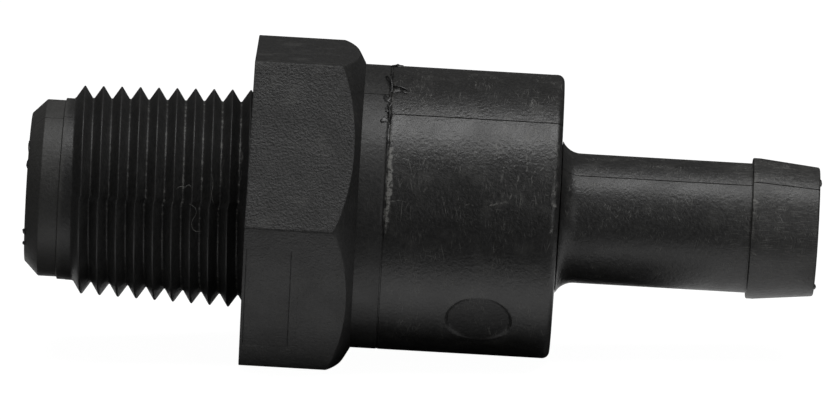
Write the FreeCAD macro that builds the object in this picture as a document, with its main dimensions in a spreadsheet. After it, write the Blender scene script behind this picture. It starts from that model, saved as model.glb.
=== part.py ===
import FreeCAD, Part
import math
import os
import sys

import Sketcher

# Crankcase ventilation valve, moulded in black nylon.
# The inlet base (nose, tapered pipe thread, hexagon, collar) and the outlet housing (barrel, hose nozzle)
# are two mouldings, spin-welded together at a seam beside the hexagon.
# Inside, a coil spring holds a sliding pintle shut against the inlet seat, and the pintle's taper
# meters the flow through the hole of a steel washer.
# Millimetres. The valve's axis is X. X = 0 is the hexagon's thread-side face, and flow runs towards +X.
# Two flats of the hexagon face up and down, so the valve can lie on one of them.

# The driving sizes: name, value, and what it measures
SIZES = [
    ("thread_length", "17", "hexagon face to the start of the thread"),
    ("thread_pitch", "1.814", "14 threads to the inch"),
    ("thread_pitch_dia", "19.4", "pitch diameter at the start, a turn up the half-inch taper"),
    ("taper_ratio", "16", "length over which the diameter grows by one"),
    ("thread_crest_flat", "0.1", "width of the thread's crest"),
    ("thread_root_flat", "0.12", "width of the thread's root"),
    ("thread_depth", "1.42", "crest to root, radially"),
    ("thread_lead_in", "1.14", "start of the thread back to the first groove's middle, on the far side"),
    ("thread_runout", "0.95", "last groove's middle to the hexagon face"),
    ("band_dia", "17.9", "plain band in front of the thread"),
    ("band_length", "1.5", "length of that band"),
    ("nose_dia", "17.45", "plain nose"),
    ("nose_length", "3.2", "nose, up to the band"),
    ("nose_chamfer", "1.4", "chamfer round the nose's end"),
    ("nose_wall", "2.725", "nose wall, which leaves a 12 mm gas passage"),
    ("bore_lead", "0.4", "chamfer at the mouth of each bore"),
    ("hex_flats", "30.2", "across the flats"),
    ("hex_length", "10.8", "hexagon, with its chamfer"),
    ("hex_chamfer_length", "2.3", "length of the hexagon's chamfer along the axis"),
    ("collar_length", "2.6", "round collar between hexagon and seam"),
    ("barrel_dia", "28", "barrel, and the collar that it meets"),
    ("barrel_length", "17", "barrel, from the seam"),
    ("barrel_wall", "2.6", "barrel wall"),
    ("barrel_edge", "0.7", "radius on the barrel's outer end"),
    ("end_wall", "2.8", "barrel's end wall"),
    ("seam_chamfer", "0.12", "chamfer on both sides of the weld seam"),
    ("spigot_length", "4", "base spigot inside the barrel"),
    ("weld_clearance", "0.05", "between spigot and barrel bore"),
    ("chamber_dia", "19.2", "guide chamber in the base"),
    ("seat_face", "6", "hexagon face to the valve seat"),
    ("seat_hole", "8.4", "hole that the pintle shuts"),
    ("seat_rim", "1", "radial width of the raised seat"),
    ("seat_height", "0.5", "height of the raised seat above the chamber floor"),
    ("seat_web", "2.5", "chamber floor's thickness"),
    ("rib_width", "1.4", "guide ribs in the chamber"),
    ("rib_count", "6", "number of guide ribs"),
    ("panel_length", "4.4", "plain recessed panel on a flat, along the axis"),
    ("panel_width", "12.3", "that panel, across the flat"),
    ("panel_depth", "0.15", "that panel's depth"),
    ("panel_inset", "0.3", "hexagon's front face to the panel"),
    ("washer_thickness", "1.2", "metering washer"),
    ("washer_clearance", "0.1", "between the washer's rim and the barrel bore"),
    ("orifice_dia", "7.4", "metering hole"),
    ("orifice_lead", "0.3", "chamfer on the metering hole"),
    ("outlet_bore", "8.6", "gas passage through the nozzle"),
    ("neck_dia", "12.8", "nozzle behind the barb, for a half-inch hose"),
    ("neck_length", "18.95", "barrel's end to the barb"),
    ("root_radius", "2", "flare where the nozzle leaves the barrel"),
    ("root_slot", "0.2", "fine slot between that flare and the barrel's end"),
    ("root_slot_floor", "0.25", "slot's floor above the neck"),
    ("barb_dia", "13.9", "barb's crest"),
    ("barb_land", "0.8", "cylindrical crest of the barb"),
    ("barb_length", "6.65", "barb, with its crest"),
    ("barb_tip_dia", "12.7", "barb's small end"),
    ("spot_dia", "6.3", "round moulding spot on the barrel"),
    ("spot_depth", "0.3", "spot's depth at its middle"),
    ("spot_offset", "9.8", "seam to the spot's centre"),
    ("spot_angle", "-41", "spot's turn from the front, towards the top"),
    ("flange_clearance", "0.2", "between the pintle's flange and the ribs"),
    ("rib_height", "1.65", "ribs, from the chamber wall inwards"),
    ("flange_thickness", "1.6", "pintle's flange"),
    ("flange_edge", "0.3", "chamfer on that flange"),
    ("pintle_nose_dia", "6.8", "pintle's pilot in the seat hole"),
    ("pintle_nose_length", "2.4", "length of that pilot"),
    ("stem_dia", "8.8", "pintle's stem, inside the spring"),
    ("stem_length", "12", "stem, from the flange to its shoulder"),
    ("needle_dia", "6.6", "metering taper at the shoulder"),
    ("needle_tip_dia", "4.2", "metering taper at its tip"),
    ("needle_length", "8.9", "metering taper"),
    ("core_dia", "4", "blind hole in the pintle"),
    ("core_depth", "13", "depth of that hole"),
    ("spring_wire", "0.7", "spring wire"),
    ("spring_mean_dia", "10.6", "spring, to the middle of the wire"),
    ("spring_turns", "7", "active turns"),
    ("spring_end_turns", "1", "closed turn at each end"),
    ("spring_end_pitch", "0.74", "pitch of the closed turns"),
    ("spring_clearance", "0.02", "between each ground end and its seat"),
]

PARTS = "parts"
SHEET = "Sizes"
FACET_LEAN = 30
WIRE_FLATS = 8
TAN_30 = math.tan(math.radians(FACET_LEAN))
COS_30 = math.cos(math.radians(FACET_LEAN))


class Size:
    """A length with its value now and the sheet expression that gives it, so that sketches can be bound."""

    def __init__(self, number, text):
        self.number = number
        self.text = text

    def _with(self, other, sign, number):
        text = other.text if isinstance(other, Size) else repr(other)
        return Size(number, f"({self.text} {sign} {text})")

    def __add__(self, other):
        return self._with(other, "+", self.number + number_of(other))

    def __sub__(self, other):
        return self._with(other, "-", self.number - number_of(other))

    def __mul__(self, other):
        return self._with(other, "*", self.number * number_of(other))

    def __truediv__(self, other):
        return self._with(other, "/", self.number / number_of(other))

    def __neg__(self):
        return Size(-self.number, f"(0 - {self.text})")


def number_of(value):
    return value.number if isinstance(value, Size) else value


def root(value):
    """Square root of a Size."""
    return Size(math.sqrt(value.number), f"sqrt({value.text})")


def make_sheet(doc):
    """Puts the driving sizes in a spreadsheet, one named cell each."""
    sheet = doc.addObject("Spreadsheet::Sheet", SHEET)
    for row, (name, value, words) in enumerate(SIZES, start=1):
        sheet.set(f"A{row}", name)
        sheet.set(f"B{row}", value)
        sheet.setAlias(f"B{row}", name)
        sheet.set(f"C{row}", words)
    doc.recompute()
    return sheet


def size(name):
    """A driving size, by its name in the sheet."""
    found = [float(value) for alias, value, _ in SIZES if alias == name]
    return Size(found[0], f"{SHEET}.{name}")


def new_body(doc, label):
    body = doc.addObject("PartDesign::Body", label)
    body.Label = label
    return body


def origin_feature(body, role):
    return [f for f in body.Origin.OriginFeatures if f.Role == role][0]


def new_sketch(body, name, plane, offset=None):
    """A sketch on one of the body's origin planes, lifted off it by offset."""
    sketch = body.newObject("Sketcher::SketchObject", name)
    sketch.AttachmentSupport = [(origin_feature(body, plane), "")]
    sketch.MapMode = "FlatFace"
    if offset is not None:
        sketch.setExpression("AttachmentOffset.Base.z", offset.text)
    return sketch


def pin_point(sketch, curve, end, x, y):
    """Holds one end of a curve at (x, y), measured from the sketch's origin."""
    for kind, value in (("DistanceX", x), ("DistanceY", y)):
        index = sketch.addConstraint(Sketcher.Constraint(kind, -1, 1, curve, end, value.number))
        sketch.setExpression(f"Constraints[{index}]", value.text)


def draw_outline(sketch, corners):
    """Draws a closed outline. A corner is (x, y), or (x, y, radius, bulge) where an arc leads on from it.

    The bulge is +1 where the arc's centre lies to the left of the way from this corner to the next, and -1
    where it lies to the right.
    """
    points = [FreeCAD.Vector(c[0].number, c[1].number, 0) for c in corners]
    for i, corner in enumerate(corners):
        here, there = points[i], points[(i + 1) % len(points)]
        if len(corner) == 2:
            sketch.addGeometry(Part.LineSegment(here, there), False)
        else:
            sketch.addGeometry(arc_between(here, there, corner[2].number, corner[3]), False)
    # An arc drawn clockwise has its start and end swapped in the sketch
    starts = [2 if len(c) == 4 and c[3] < 0 else 1 for c in corners]
    for i, corner in enumerate(corners):
        after = (i + 1) % len(corners)
        end = 3 - starts[i]
        sketch.addConstraint(Sketcher.Constraint("Coincident", i, end, after, starts[after]))
        pin_point(sketch, i, starts[i], corner[0], corner[1])
        if len(corner) == 4:
            index = sketch.addConstraint(Sketcher.Constraint("Radius", i, corner[2].number))
            sketch.setExpression(f"Constraints[{index}]", corner[2].text)


def arc_between(here, there, radius, bulge):
    """The short arc of that radius from one point to the other."""
    chord = there - here
    middle = (here + there) * 0.5
    left = FreeCAD.Vector(-chord.y, chord.x, 0).normalize()
    centre = middle + left * (bulge * math.sqrt(radius**2 - (chord.Length / 2) ** 2))
    side = (middle - centre).normalize()
    return Part.Arc(here, centre + side * radius, there)


def turn(body, name, outline, kind="PartDesign::Revolution"):
    """Adds a turned form, or cuts one with a Groove, from an outline in the XZ plane."""
    sketch = new_sketch(body, name + "_outline", "XZ_Plane")
    draw_outline(sketch, outline)
    feature = body.newObject(kind, name)
    feature.Profile = sketch
    feature.ReferenceAxis = (sketch, ["H_Axis"])
    feature.Angle = 360
    body.Document.recompute()
    return feature


def pad(body, name, outline, start, length):
    """Pads an outline in the YZ plane along +X."""
    sketch = new_sketch(body, name + "_outline", "YZ_Plane", start)
    draw_outline(sketch, outline)
    feature = body.newObject("PartDesign::Pad", name)
    feature.Profile = sketch
    feature.setExpression("Length", length.text)
    body.Document.recompute()
    return feature


ZERO = Size(0.0, "0")
# How far a cutter passes the surface that it cuts, and a boss reaches into what carries it
OVERRUN = Size(1.0, "1")

# Places along the axis, each worked out from the driving sizes
THREAD_START = -size("thread_length")
BAND_START = THREAD_START - size("band_length")
NOSE_TIP = BAND_START - size("nose_length")
HEX_BACK = size("hex_length")
SEAM = HEX_BACK + size("collar_length")
BARREL_END = SEAM + size("barrel_length")
BARB_START = BARREL_END + size("neck_length")
BARB_TIP = BARB_START + size("barb_length")
CHAMBER_FLOOR = size("seat_face") - size("seat_height")
WASHER_BACK = BARREL_END - size("end_wall")
WASHER_FRONT = WASHER_BACK - size("washer_thickness")
FLANGE_BACK = size("seat_face") + size("flange_thickness")

# Radii that more than one piece needs
BARREL_RADIUS = size("barrel_dia") / 2
BARREL_BORE_RADIUS = BARREL_RADIUS - size("barrel_wall")
CHAMBER_RADIUS = size("chamber_dia") / 2
RIB_TIP_RADIUS = CHAMBER_RADIUS - size("rib_height")
FLANGE_RADIUS = RIB_TIP_RADIUS - size("flange_clearance")
THREAD_START_RADIUS = (size("thread_pitch_dia") + size("thread_depth")) / 2
THREAD_END_RADIUS = THREAD_START_RADIUS + size("thread_length") / size("taper_ratio") / 2


def make_inlet_base(doc):
    """Nose, thread, hexagon, collar, spigot and the guide chamber with its seat, as one moulding."""
    body = new_body(doc, "inlet_base")
    half_flats = size("hex_flats") / 2
    corner = half_flats / COS_30
    half_side = half_flats * TAN_30
    hexagon = [
        (-half_side, -half_flats),
        (half_side, -half_flats),
        (corner, ZERO),
        (half_side, half_flats),
        (-half_side, half_flats),
        (-corner, ZERO),
    ]
    pad(body, "hexagon", hexagon, ZERO, HEX_BACK)

    # The hexagon's weld-side corners are turned away by a cone that ends at the collar
    chamfer_start = HEX_BACK - size("hex_chamfer_length")
    outside = corner + OVERRUN
    turn(body, "hexagon_chamfer", [
        (chamfer_start, corner),
        (HEX_BACK, BARREL_RADIUS),
        (HEX_BACK + OVERRUN, BARREL_RADIUS),
        (HEX_BACK + OVERRUN, outside),
        (chamfer_start, outside),
    ], "PartDesign::Groove")

    chamfer = size("nose_chamfer")
    nose_radius = size("nose_dia") / 2
    band_radius = size("band_dia") / 2
    turn(body, "nose_and_thread_blank", [
        (NOSE_TIP, ZERO),
        (NOSE_TIP, nose_radius - chamfer),
        (NOSE_TIP + chamfer, nose_radius),
        (BAND_START, nose_radius),
        (BAND_START, band_radius),
        (THREAD_START, band_radius),
        (THREAD_START, THREAD_START_RADIUS),
        (ZERO, THREAD_END_RADIUS),
        (OVERRUN, THREAD_END_RADIUS),
        (OVERRUN, ZERO),
    ])
    cut_thread(body)

    edge = size("seam_chamfer")
    spigot_radius = BARREL_BORE_RADIUS - size("weld_clearance")
    turn(body, "collar_and_spigot", [
        (HEX_BACK - OVERRUN, ZERO),
        (HEX_BACK - OVERRUN, BARREL_RADIUS),
        (SEAM - edge, BARREL_RADIUS),
        (SEAM, BARREL_RADIUS - edge),
        (SEAM, spigot_radius),
        (SEAM + size("spigot_length"), spigot_radius),
        (SEAM + size("spigot_length"), ZERO),
    ])

    seat_hole_radius = size("seat_hole") / 2
    inlet_radius = nose_radius - size("nose_wall")
    lead = size("bore_lead")
    web_front = CHAMBER_FLOOR - size("seat_web")
    spigot_end = SEAM + size("spigot_length")
    turn(body, "passage", [
        (NOSE_TIP, ZERO),
        (NOSE_TIP, inlet_radius + lead),
        (NOSE_TIP + lead, inlet_radius),
        (web_front, inlet_radius),
        (web_front, seat_hole_radius),
        (size("seat_face"), seat_hole_radius),
        (size("seat_face"), seat_hole_radius + size("seat_rim")),
        (CHAMBER_FLOOR, seat_hole_radius + size("seat_rim")),
        (CHAMBER_FLOOR, CHAMBER_RADIUS),
        (spigot_end, CHAMBER_RADIUS),
        (spigot_end, ZERO),
    ], "PartDesign::Groove")

    # Ribs along the chamber wall guide the pintle's flange and let the gas pass between them
    half_rib = size("rib_width") / 2
    rib_root = (CHAMBER_RADIUS + spigot_radius) / 2
    rib = pad(body, "guide_rib", [
        (-half_rib, RIB_TIP_RADIUS),
        (half_rib, RIB_TIP_RADIUS),
        (half_rib, rib_root),
        (-half_rib, rib_root),
    ], CHAMBER_FLOOR, spigot_end - CHAMBER_FLOOR)
    ribs = body.newObject("PartDesign::PolarPattern", "guide_ribs")
    ribs.Originals = [rib]
    ribs.Axis = (origin_feature(body, "X_Axis"), [""])
    ribs.Angle = 360
    ribs.setExpression("Occurrences", size("rib_count").text)
    body.Tip = ribs
    doc.recompute()

    # A shallow plain panel in the flat that faces forward and down, 30 degrees below the front
    panel = new_sketch(body, "panel_outline", "XZ_Plane", half_flats - size("panel_depth"))
    half_panel = size("panel_width") / 2
    panel_start = size("panel_inset")
    draw_outline(panel, [
        (panel_start, -half_panel),
        (panel_start + size("panel_length"), -half_panel),
        (panel_start + size("panel_length"), half_panel),
        (panel_start, half_panel),
    ])
    turned_down = FreeCAD.Rotation(FreeCAD.Vector(1, 0, 0), FACET_LEAN)
    tilt_panel(panel, half_flats - size("panel_depth"), turned_down)
    recess = body.newObject("PartDesign::Pocket", "panel_recess")
    recess.Profile = panel
    recess.Reversed = True
    recess.setExpression("Length", (size("panel_depth") + OVERRUN).text)
    doc.recompute()
    return body


def cut_thread(body):
    """Cuts the right-hand taper thread, one V groove that winds up the cone to the hexagon."""
    groove_start = THREAD_START - size("thread_lead_in")
    crest_radius = THREAD_START_RADIUS - size("thread_lead_in") / size("taper_ratio") / 2
    root_radius = crest_radius - size("thread_depth")
    half_root = size("thread_root_flat") / 2
    half_mouth = (size("thread_pitch") - size("thread_crest_flat")) / 2
    # The cutter stands a little out of the cone, less than would let one turn of it reach the next
    above = size("thread_crest_flat") / 2
    half_top = half_mouth + above * (half_mouth - half_root) / size("thread_depth")
    sketch = new_sketch(body, "thread_groove", "XY_Plane")
    draw_outline(sketch, [
        (groove_start - half_top, crest_radius + above),
        (groove_start - half_root, root_radius),
        (groove_start + half_root, root_radius),
        (groove_start + half_top, crest_radius + above),
    ])
    groove = body.newObject("PartDesign::SubtractiveHelix", "pipe_thread")
    groove.Profile = sketch
    groove.ReferenceAxis = (sketch, ["H_Axis"])
    groove.Mode = 0
    groove.setExpression("Pitch", size("thread_pitch").text)
    wound_length = size("thread_lead_in") + size("thread_length") - size("thread_runout")
    groove.setExpression("Height", wound_length.text)
    groove.setExpression("Angle", f"atan(1 / (2 * {SHEET}.taper_ratio))")
    body.Document.recompute()


def tilt_panel(sketch, distance, rotation):
    """Turns a sketch on the XZ plane about the valve's axis, and lifts it to that distance from the axis."""
    sketch.AttachmentOffset = FreeCAD.Placement(FreeCAD.Vector(0, 0, 0), rotation)
    lifted = rotation.multVec(FreeCAD.Vector(0, 0, 1))
    sketch.setExpression("AttachmentOffset.Base.y", (distance * lifted.y).text)
    sketch.setExpression("AttachmentOffset.Base.z", (distance * lifted.z).text)


def make_outlet_housing(doc):
    """Barrel, nozzle and hose barb, as one moulding with the spring chamber and the outlet bore."""
    body = new_body(doc, "outlet_housing")
    edge = size("seam_chamfer")
    neck_radius = size("neck_dia") / 2
    flare = size("root_radius")
    slot = size("root_slot")
    flare_radius = neck_radius + flare - root(flare * flare - (flare - slot) * (flare - slot))
    slot_floor = neck_radius + size("root_slot_floor")
    barb_radius = size("barb_dia") / 2
    turn(body, "barrel_and_nozzle", [
        (SEAM, ZERO),
        (SEAM, BARREL_RADIUS - edge),
        (SEAM + edge, BARREL_RADIUS),
        (BARREL_END - size("barrel_edge"), BARREL_RADIUS, size("barrel_edge"), -1),
        (BARREL_END, BARREL_RADIUS - size("barrel_edge")),
        (BARREL_END, slot_floor),
        (BARREL_END + slot / 2, slot_floor),
        (BARREL_END + slot, flare_radius, flare, 1),
        (BARREL_END + flare, neck_radius),
        (BARB_START, neck_radius),
        (BARB_START, barb_radius),
        (BARB_START + size("barb_land"), barb_radius),
        (BARB_TIP, size("barb_tip_dia") / 2),
        (BARB_TIP, ZERO),
    ])

    outlet_radius = size("outlet_bore") / 2
    lead = size("bore_lead")
    turn(body, "chamber_and_bore", [
        (SEAM, ZERO),
        (SEAM, BARREL_BORE_RADIUS),
        (WASHER_BACK, BARREL_BORE_RADIUS),
        (WASHER_BACK, outlet_radius),
        (BARB_TIP - lead, outlet_radius),
        (BARB_TIP, outlet_radius + lead),
        (BARB_TIP, ZERO),
    ], "PartDesign::Groove")

    # The round spot is a shallow flat, milled square to the barrel
    spot_floor = BARREL_RADIUS - size("spot_depth")
    sketch = body.newObject("Sketcher::SketchObject", "spot_outline")
    sketch.AttachmentSupport = [(origin_feature(body, "XZ_Plane"), "")]
    sketch.MapMode = "FlatFace"
    centre = FreeCAD.Vector((SEAM + size("spot_offset")).number, 0, 0)
    sketch.addGeometry(Part.Circle(centre, FreeCAD.Vector(0, 0, 1), size("spot_dia").number / 2), False)
    pin_point(sketch, 0, 3, SEAM + size("spot_offset"), ZERO)
    index = sketch.addConstraint(Sketcher.Constraint("Diameter", 0, size("spot_dia").number))
    sketch.setExpression(f"Constraints[{index}]", size("spot_dia").text)
    turned = FreeCAD.Rotation(FreeCAD.Vector(1, 0, 0), -size("spot_angle").number)
    tilt_panel(sketch, spot_floor, turned)
    spot = body.newObject("PartDesign::Pocket", "moulding_spot")
    spot.Profile = sketch
    spot.Reversed = True
    spot.setExpression("Length", (size("spot_depth") + OVERRUN).text)
    doc.recompute()
    return body


def make_metering_washer(doc):
    """Stamped steel washer at the end of the chamber, whose hole is the metering orifice."""
    body = new_body(doc, "metering_washer")
    rim_radius = BARREL_BORE_RADIUS - size("washer_clearance")
    hole_radius = size("orifice_dia") / 2
    lead = size("orifice_lead")
    turn(body, "washer", [
        (WASHER_FRONT, hole_radius + lead),
        (WASHER_FRONT, rim_radius),
        (WASHER_BACK, rim_radius),
        (WASHER_BACK, hole_radius),
        (WASHER_FRONT + lead, hole_radius),
    ])
    return body


def make_pintle(doc):
    """Sliding pintle: pilot nose, flange, stem, shoulder and metering taper, with a blind core."""
    body = new_body(doc, "pintle")
    seat = size("seat_face")
    nose_radius = size("pintle_nose_dia") / 2
    stem_radius = size("stem_dia") / 2
    edge = size("flange_edge")
    nose_end = seat - size("pintle_nose_length")
    shoulder = FLANGE_BACK + size("stem_length")
    tip = shoulder + size("needle_length")
    tip_radius = size("needle_tip_dia") / 2
    core_radius = size("core_dia") / 2
    core_end = nose_end + size("core_depth")
    turn(body, "pintle_form", [
        (nose_end, core_radius),
        (nose_end, nose_radius - edge),
        (nose_end + edge, nose_radius),
        (seat, nose_radius),
        (seat, FLANGE_RADIUS),
        (FLANGE_BACK - edge, FLANGE_RADIUS),
        (FLANGE_BACK, FLANGE_RADIUS - edge),
        (FLANGE_BACK, stem_radius),
        (shoulder - edge, stem_radius),
        (shoulder, stem_radius - edge),
        (shoulder, size("needle_dia") / 2),
        (tip - tip_radius / 2, tip_radius, tip_radius / 2, -1),
        (tip, tip_radius / 2),
        (tip, ZERO),
        (core_end, ZERO),
        (core_end, core_radius),
    ])
    return body


def make_return_spring(doc, sheet):
    """Compression spring with one closed turn at each end. Its wire has flats, which keeps its faces few."""
    wire_radius = sheet.get("spring_wire") / 2
    coil_radius = sheet.get("spring_mean_dia") / 2
    end_pitch = sheet.get("spring_end_pitch")
    end_height = end_pitch * sheet.get("spring_end_turns")
    turns = sheet.get("spring_turns")
    seat_gap = sheet.get("spring_clearance") + wire_radius
    start = FLANGE_BACK.number + seat_gap
    stop = WASHER_FRONT.number - seat_gap
    active_height = stop - start - 2 * end_height
    along = 0.0
    turned = 0.0
    edges = []
    closed = (end_pitch, end_height)
    for pitch, height in (closed, (active_height / turns, active_height), closed):
        piece = Part.makeHelix(pitch, height, coil_radius)
        piece.rotate(FreeCAD.Vector(0, 0, 0), FreeCAD.Vector(0, 0, 1), 360 * turned)
        piece.translate(FreeCAD.Vector(0, 0, along))
        edges += piece.Edges
        along += height
        turned += height / pitch
    section = Part.makePolygon([
        FreeCAD.Vector(
            coil_radius + wire_radius * math.cos(2 * math.pi * corner / WIRE_FLATS),
            0,
            wire_radius * math.sin(2 * math.pi * corner / WIRE_FLATS),
        )
        for corner in range(WIRE_FLATS + 1)
    ])
    coil = Part.Wire(edges).makePipeShell([section], True, True)
    coil.rotate(FreeCAD.Vector(0, 0, 0), FreeCAD.Vector(0, 1, 0), 90)
    coil.translate(FreeCAD.Vector(start, 0, 0))
    spring = doc.addObject("Part::Feature", "return_spring")
    spring.Label = "return_spring"
    spring.Shape = coil
    return spring


def check_and_write(doc, pieces):
    """Stops if any object failed or any shape is bad. Otherwise writes each piece as a STEP file."""
    failed = [o.Label for o in doc.Objects if "Invalid" in o.State or "Error" in o.State]
    if failed:
        sys.exit(f"these objects failed: {failed}")
    for piece in pieces:
        shape = piece.Shape
        if shape.isNull() or not shape.isValid() or not shape.Solids:
            sys.exit(f"{piece.Label} has no valid solid")
    os.makedirs(PARTS, exist_ok=True)
    for piece in pieces:
        piece.Shape.exportStep(os.path.join(PARTS, piece.Label + ".step"))
        print(f"{piece.Label}: {len(piece.Shape.Solids)} solid, {piece.Shape.Volume:.1f} mm3")


def main():
    doc = FreeCAD.newDocument("ventilation_valve")
    sheet = make_sheet(doc)
    pieces = [
        make_inlet_base(doc),
        make_outlet_housing(doc),
        make_metering_washer(doc),
        make_pintle(doc),
        make_return_spring(doc, sheet),
    ]
    doc.recompute()
    check_and_write(doc, pieces)


main()
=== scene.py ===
# %% [markdown]
# # A crankcase ventilation valve in black glass-filled nylon
# The valve is two mouldings welded end to end. The inlet base has a plain nose, a tapered pipe thread, a
# hexagon and a collar. The outlet housing has a round barrel and a nozzle with one hose barb. A steel washer,
# a coil spring and a sliding pintle are inside.
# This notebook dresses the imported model. It builds each moulding as one fine mesh, because nearly every shape
# on it is turned, and then gives each piece a finish made from nodes.

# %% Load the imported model
import math

import bmesh
import bpy
import numpy as np
from mathutils import Matrix, Vector


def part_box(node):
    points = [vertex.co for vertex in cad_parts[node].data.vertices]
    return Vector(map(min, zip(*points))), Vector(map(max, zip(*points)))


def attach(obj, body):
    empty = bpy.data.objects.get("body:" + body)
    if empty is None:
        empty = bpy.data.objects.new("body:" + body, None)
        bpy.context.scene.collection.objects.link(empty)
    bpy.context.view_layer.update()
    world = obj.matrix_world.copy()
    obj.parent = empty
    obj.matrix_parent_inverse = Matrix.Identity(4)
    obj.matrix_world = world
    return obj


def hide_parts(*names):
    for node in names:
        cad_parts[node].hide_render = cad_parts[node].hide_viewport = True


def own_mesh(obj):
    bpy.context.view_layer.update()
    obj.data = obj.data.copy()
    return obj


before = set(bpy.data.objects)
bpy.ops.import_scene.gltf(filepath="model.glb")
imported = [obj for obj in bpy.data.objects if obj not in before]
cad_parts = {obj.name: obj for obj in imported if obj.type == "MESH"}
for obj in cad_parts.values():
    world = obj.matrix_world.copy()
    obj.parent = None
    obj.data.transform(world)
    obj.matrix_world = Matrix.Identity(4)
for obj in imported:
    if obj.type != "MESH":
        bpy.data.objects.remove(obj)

MM = 0.001
scene = bpy.context.scene
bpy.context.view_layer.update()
base_low, base_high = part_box("inlet_base")
housing_low, housing_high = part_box("outlet_housing")

# %% [markdown]
# ## The sizes that the two mouldings share
# The valve's axis is X, and X = 0 is the hexagon's thread-side face. The outer lengths come from the packed
# model's boxes. The others repeat the part's own sizes in millimetres, because the boxes can't show them.
# An angle goes round the axis from the front (the side that faces the camera) up to the top.

# %% Sizes
NOSE_TIP = base_low.x / MM
SEAM = housing_low.x / MM
BARB_TIP = housing_high.x / MM
HEX_APOTHEM = base_high.z / MM
HEX_CORNER = base_high.y / MM
HEX_BACK = 10.8
BARREL_RADIUS = housing_high.z / MM
BARREL_END = 30.4
BARREL_BORE = 11.4
SPIGOT_END = 17.4
WASHER_FRONT, WASHER_BACK = 26.4, 27.6
BASE_LINE, HOUSING_LINE = 61.0, 49.9     # where each moulding's parting line runs, in degrees
print("nose tip", round(NOSE_TIP, 2), "seam", round(SEAM, 2), "barb tip", round(BARB_TIP, 2))

# %% [markdown]
# ## A skin from rows and columns
# A turned piece could be spun with a Screw modifier, but this one also has a thread, flats and a moulding
# spot, which change its radius round the axis. So each row of the mesh gives a place along the axis and a
# radius for every column, and the columns stand closer where there is something fine to show. The first and
# the last column meet and are welded.

# %% Rows, columns and the skin
FIRST_ANGLE = -90.0


def columns(step, fine):
    """Angles from the bottom round to the bottom again, with extra ones where the piece needs them."""
    even = np.arange(0.0, 360.0, step)
    extra = (np.array(fine, float) - FIRST_ANGLE) % 360.0
    turn = np.unique(np.round(np.concatenate([even, extra]), 4))
    return FIRST_ANGLE + np.append(turn, 360.0)


def skin(name, rows, angles, closed=True):
    """Joins the rows into one closed mesh. A row is (places along the axis, radii), in millimetres."""
    wide = len(angles)
    cosine, sine = np.cos(np.radians(angles)), np.sin(np.radians(angles))
    points = np.empty((len(rows), wide, 3))
    for k, (along, radius) in enumerate(rows):
        points[k, :, 0] = along
        points[k, :, 1] = -radius * cosine
        points[k, :, 2] = radius * sine
    last = len(rows) if closed else len(rows) - 1
    quads = []
    for k in range(last):
        here, there = k * wide, (k + 1) % len(rows) * wide
        for j in range(wide - 1):
            quads.append((here + j, here + j + 1, there + j + 1, there + j))
    mesh = bpy.data.meshes.new(name)
    mesh.from_pydata((points.reshape(-1, 3) * MM).tolist(), [], quads)
    return finish_mesh(name, mesh)


def finish_mesh(name, mesh, weld=2e-6, sharp=38.0):
    """Welds what meets, turns every face outwards, and smooths all but the sharp edges."""
    work = bmesh.new()
    work.from_mesh(mesh)
    bmesh.ops.remove_doubles(work, verts=work.verts, dist=weld)
    bmesh.ops.dissolve_degenerate(work, edges=work.edges, dist=weld / 2)
    bmesh.ops.recalc_face_normals(work, faces=work.faces)
    work.to_mesh(mesh)
    work.free()
    mesh.shade_smooth()
    mesh.set_sharp_from_angle(angle=math.radians(sharp))
    piece = bpy.data.objects.new(name, mesh)
    scene.collection.objects.link(piece)
    flat = piece.modifiers.new("even shading", "WEIGHTED_NORMAL")
    flat.keep_sharp = True
    print(name, len(mesh.vertices), "points", len(mesh.polygons), "faces")
    return piece


def outline(corners, steps=4):
    """Points along an outline. A corner is (along, radius, rounding), and rounding 0 keeps it sharp."""
    points = []
    for k, (along, radius, rounding) in enumerate(corners):
        here = Vector((along, radius))
        if rounding == 0 or k in (0, len(corners) - 1):
            points.append((along, radius))
            continue
        back = (Vector(corners[k - 1][:2]) - here).normalized()
        on = (Vector(corners[k + 1][:2]) - here).normalized()
        half = back.angle(on) / 2
        reach = rounding / math.tan(half)
        centre = here + (back + on).normalized() * (rounding / math.sin(half))
        first, final = here + back * reach - centre, here + on * reach - centre
        sweep = first.angle_signed(final)
        for n in range(steps + 1):
            turned = Matrix.Rotation(-sweep * n / steps, 2) @ first + centre
            points.append((turned.x, turned.y))
    return points


def turned_rows(points, angles, offset=0.0):
    """Rows of a plain turned stretch. The offset, one value a column, lifts or sinks the surface."""
    level = np.zeros(len(angles))
    return [(level + along, level + radius + offset) for along, radius in points]


def near(angles, place):
    """How far each column is from an angle, in degrees."""
    return np.abs((angles - place + 180.0) % 360.0 - 180.0)


def parting(angles, line, step=0.035, groove=0.08, reach=0.2):
    """The two halves of the mould meet a hair out of line, with a fine groove between them."""
    upper = ((angles - line) % 360.0) < 180.0
    beside = np.minimum(near(angles, line), near(angles, line + 180.0))
    return np.where(upper, -step, 0.0) - np.where(beside < reach, groove, 0.0)


# %% [markdown]
# ## The inlet base: nose, pipe thread, hexagon and collar
# The thread is a half-inch taper pipe thread: 14 turns to the inch, right-handed, growing 1 in 16. Cutting it
# with a boolean would leave ragged triangles, so its rows follow the crests and roots round the axis instead,
# and stop square against the nose band and the hexagon. The thread begins out of sight, on the far side.

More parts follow.
